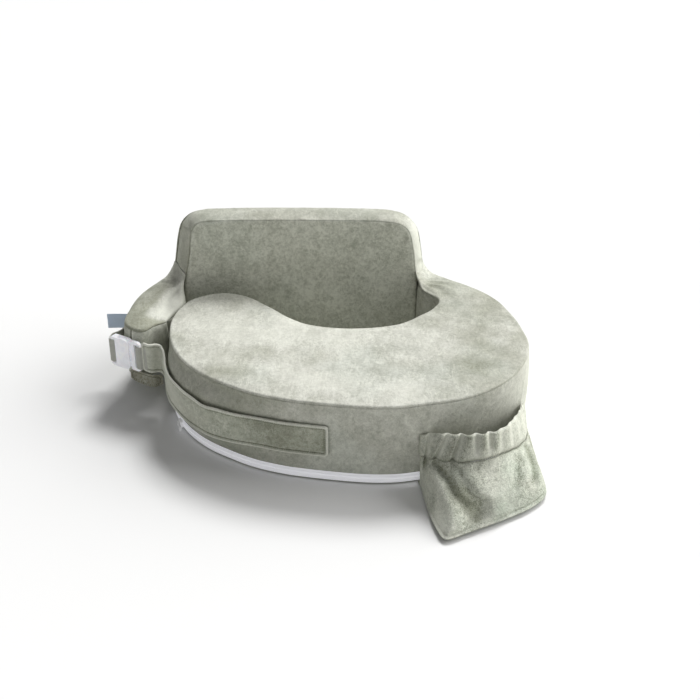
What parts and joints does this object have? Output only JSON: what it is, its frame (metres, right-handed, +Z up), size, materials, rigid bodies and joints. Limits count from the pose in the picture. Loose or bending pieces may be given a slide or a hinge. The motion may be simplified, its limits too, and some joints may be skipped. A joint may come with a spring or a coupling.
{
  "type": "nursing pillow",
  "caption": "C-shaped flat-topped foam nursing pillow with a raised backrest, a left wrap arm closed by a buckled belt, a zip round the base and a side pocket.",
  "frame": {"origin": "bottom centre of the bounding box, on the plane the pillow rests on", "axes": "+Z up, +Y towards the backrest, -X towards the buckle and wrap arm"},
  "size_m": [0.6552, 0.5618, 0.2385],
  "materials": {
    "plush": "short-pile plush with a brushed nap",
    "base_cloth": "flatter short-pile plush under the pillow",
    "foam": "open-cell polyurethane foam",
    "zip_tape": "woven herringbone tape",
    "zip_coil": "nylon coil",
    "zip_metal": "white enamelled slider",
    "buckle_plastic": "moulded acetal with a fine spark-eroded texture",
    "webbing": "woven webbing",
    "label": "woven satin tag, blank",
    "elastic": "ribbed braided elastic"
  },
  "bodies": {
    "pillow": {"ring_foam": "foam", "lap_top_panel": "plush", "ring_base_panel": "base_cloth", "outer_side_band": "plush", "waist_side_band": "plush", "zipper_tape_lower": "zip_tape", "zipper_tape_upper": "zip_tape", "zipper_coil": "zip_coil", "zipper_stop": "zip_coil", "backrest_foam": "foam", "backrest_front_panel": "plush", "backrest_rear_panel": "plush", "backrest_gusset": "plush", "backrest_base_panel": "base_cloth", "belt_strap": "plush", "belt_tail": "plush", "belt_webbing_loop": "webbing", "buckle_male": "buckle_plastic", "pocket_panel": "plush", "pocket_hem_casing": "plush", "pocket_elastic": "elastic"},
    "wrap_arm": {"backrest_end_foam": "foam", "backrest_end_cover": "plush", "wrap_arm_foam": "foam", "arm_top_panel": "plush", "arm_side_band": "plush", "arm_base_panel": "base_cloth", "arm_webbing_tab": "webbing"},
    "buckle_female": {"buckle_female": "buckle_plastic", "arm_webbing_loop": "webbing"},
    "prong_upper": {"buckle_prong_upper": "buckle_plastic"},
    "prong_lower": {"buckle_prong_lower": "buckle_plastic"},
    "zip_slider": {"zipper_slider": "zip_metal"},
    "zip_pull": {"zipper_pull": "zip_metal"},
    "label": {"label_tag": "label"}
  },
  "joints": [
    {"name": "arm_flex", "type": "hinge", "parent": "pillow", "child": "wrap_arm", "pos_m": [-0.15864, 0.28087, 0.0635], "axis": [0, 0, -1], "range_deg": [0, 25]},
    {"name": "buckle_release", "type": "slide", "parent": "wrap_arm", "child": "buckle_female", "axis": [-0.8642, 0.5031, 0], "range_m": [0, 0.03]},
    {"name": "prong_upper_press", "type": "hinge", "parent": "pillow", "child": "prong_upper", "pos_m": [-0.27734, 0.06307, 0.0985], "axis": [-0.5031, -0.8642, 0], "range_deg": [0, 8], "stiffness_Nm_per_rad": 0.001, "springref_deg": -1.15},
    {"name": "prong_lower_press", "type": "hinge", "parent": "pillow", "child": "prong_lower", "pos_m": [-0.27734, 0.06307, 0.0715], "axis": [-0.5031, -0.8642, 0], "range_deg": [-8, 0], "stiffness_Nm_per_rad": 0.001, "springref_deg": 1.15},
    {"name": "zip_travel", "type": "hinge", "parent": "pillow", "child": "zip_slider", "pos_m": [-0.00764, 0.08287, 0.0087], "axis": [0, 0, 1], "range_deg": [0, 27]},
    {"name": "zip_pull_flip", "type": "hinge", "parent": "zip_slider", "child": "zip_pull", "pos_m": [-0.2011, -0.01274, 0.0087], "axis": [0, 0, 1], "range_deg": [-155, 0]},
    {"name": "label_flip", "type": "hinge", "parent": "wrap_arm", "child": "label", "pos_m": [-0.29254, 0.14887, 0.0975], "axis": [0, 0, 1], "range_deg": [-50, 50]}
  ],
  "couplings": [
    {"joint": "prong_lower_press", "follows": "prong_upper_press", "ratio": -1}
  ]
}
